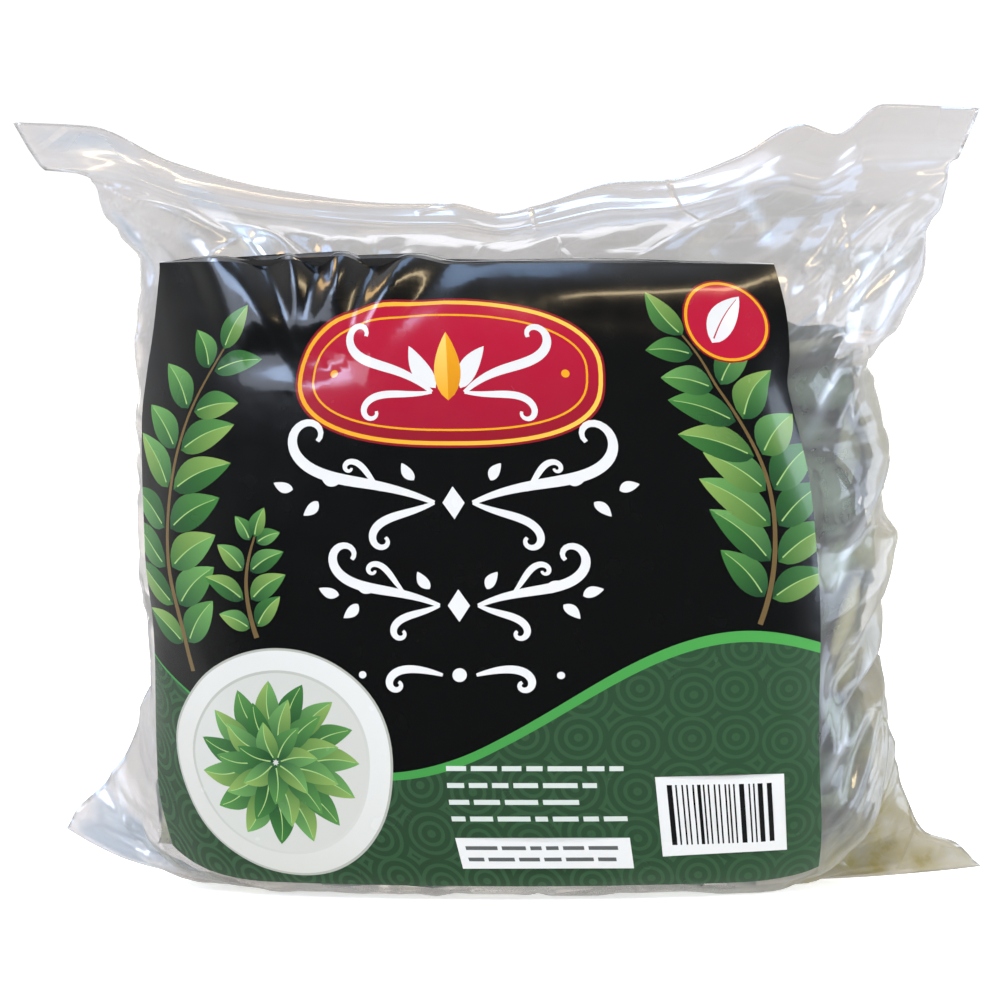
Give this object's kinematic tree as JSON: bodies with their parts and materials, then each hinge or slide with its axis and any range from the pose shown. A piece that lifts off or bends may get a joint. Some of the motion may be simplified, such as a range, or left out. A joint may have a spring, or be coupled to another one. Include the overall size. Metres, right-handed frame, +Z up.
{
  "type": "clear film bag of dried curry leaves",
  "caption": "Clear pillow bag sealed flat at top and bottom, filled with loose dried curry leaves, with a printed label across its front; it stands on its base.",
  "frame": {"origin": "on the ground, under the middle of the bag's bounding box", "axes": "+Z up, +X to the right across the label, and the label faces -Y"},
  "size_m": [0.242, 0.0918, 0.1944],
  "materials": {
    "film": "thin clear polypropylene film, glossy and slightly hazy, creased",
    "label": "printed label with a clear gloss laminate, mostly black, with red, gold, green and cream areas",
    "leaf": "dry brittle leaf, matte, dull olive and grey-green"
  },
  "bodies": {
    "root": {"film_bag": "film", "label": "label", "dried_leaves": "leaf"}
  },
  "joints": []
}
